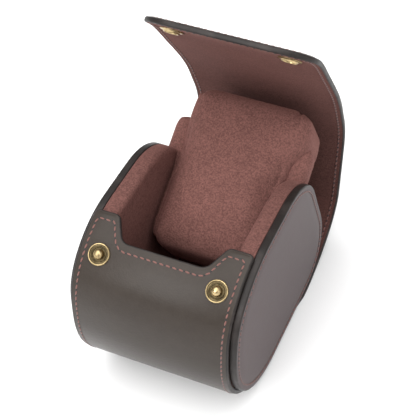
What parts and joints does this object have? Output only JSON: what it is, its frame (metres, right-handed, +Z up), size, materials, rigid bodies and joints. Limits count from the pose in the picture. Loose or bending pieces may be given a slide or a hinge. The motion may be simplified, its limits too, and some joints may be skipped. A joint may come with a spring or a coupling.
{
  "type": "watch travel case",
  "caption": "Travel case for one wristwatch: leather wrap round two padded end walls, suede lining, a flap that closes on two press studs and a lift-out cushion on which the watch is worn.",
  "frame": {"origin": "middle of the flat bottom of the case, on the surface it stands on", "axes": "X across the case from its left to its right end wall, Y from the front with the press studs to the back, Z up"},
  "size_m": [0.076, 0.1425, 0.1581],
  "materials": {
    "wrap_leather": "smooth dark brown full grain, soft sheen",
    "panel_leather": "smooth mauve grey, soft sheen",
    "suede": "short nap, matt",
    "cushion_suede": "short nap, matt",
    "board": "pressed fibre board, not seen",
    "foam": "open cell foam, not seen",
    "antique_brass": "polished, slightly aged",
    "spring_steel": "drawn wire"
  },
  "bodies": {
    "root": {"wrap_leather": "wrap_leather", "wrap_board": "board", "wrap_lining": "suede", "end_core_left": "foam", "end_core_right": "foam", "end_lining_left": "suede", "end_lining_right": "suede", "end_panel_left": "panel_leather", "end_panel_right": "panel_leather", "stud_left": "antique_brass", "stud_right": "antique_brass", "stud_washer_left": "antique_brass", "stud_washer_right": "antique_brass"},
    "flap_1": {"flap_leather_1": "wrap_leather", "flap_board_1": "board", "flap_lining_1": "suede"},
    "flap_2": {"flap_leather_2": "wrap_leather", "flap_board_2": "board", "flap_lining_2": "suede"},
    "flap_3": {"flap_leather_3": "wrap_leather", "flap_board_3": "board", "flap_lining_3": "suede"},
    "flap_4": {"flap_leather_4": "wrap_leather", "flap_board_4": "board", "flap_lining_4": "suede"},
    "flap_5": {"flap_leather_5": "wrap_leather", "flap_board_5": "board", "flap_lining_5": "suede", "snap_cap_left": "antique_brass", "snap_cap_right": "antique_brass", "snap_socket_left": "antique_brass", "snap_socket_right": "antique_brass", "snap_spring_left": "spring_steel", "snap_spring_right": "spring_steel"},
    "cushion": {"cushion_core": "foam", "cushion_cover": "cushion_suede", "cushion_wing_left": "cushion_suede", "cushion_wing_right": "cushion_suede"}
  },
  "joints": [
    {"name": "lid_flex_1", "type": "hinge", "parent": "root", "child": "flap_1", "pos_m": [0, 0.03449, 0.00264], "axis": [1, 0, 0], "range_deg": [0, 26]},
    {"name": "lid_flex_2", "type": "hinge", "parent": "flap_1", "child": "flap_2", "pos_m": [0, 0.04563, 0.00697], "axis": [1, 0, 0], "range_deg": [0, 26]},
    {"name": "lid_flex_3", "type": "hinge", "parent": "flap_2", "child": "flap_3", "pos_m": [0, 0.06461, 0.02706], "axis": [1, 0, 0], "range_deg": [-24, 0]},
    {"name": "lid_flex_4", "type": "hinge", "parent": "flap_3", "child": "flap_4", "pos_m": [0, 0.05859, 0.08725], "axis": [1, 0, 0], "range_deg": [0, 19]},
    {"name": "snap_flap", "type": "hinge", "parent": "flap_4", "child": "flap_5", "pos_m": [0, 0.02609, 0.13185], "axis": [1, 0, 0], "range_deg": [0, 37]},
    {"name": "cushion_press", "type": "slide", "parent": "root", "child": "cushion", "axis": [0, -0.8339, -0.5519], "range_m": [0, 0.036], "deforming": ["cushion_wing_left", "cushion_wing_right"]}
  ],
  "couplings": [
    {"joint": "lid_flex_1", "follows": "cushion_press", "rad_per_m": 12.605},
    {"joint": "lid_flex_2", "follows": "cushion_press", "rad_per_m": 12.605},
    {"joint": "lid_flex_3", "follows": "cushion_press", "rad_per_m": -11.636},
    {"joint": "lid_flex_4", "follows": "cushion_press", "rad_per_m": 9.2114}
  ]
}
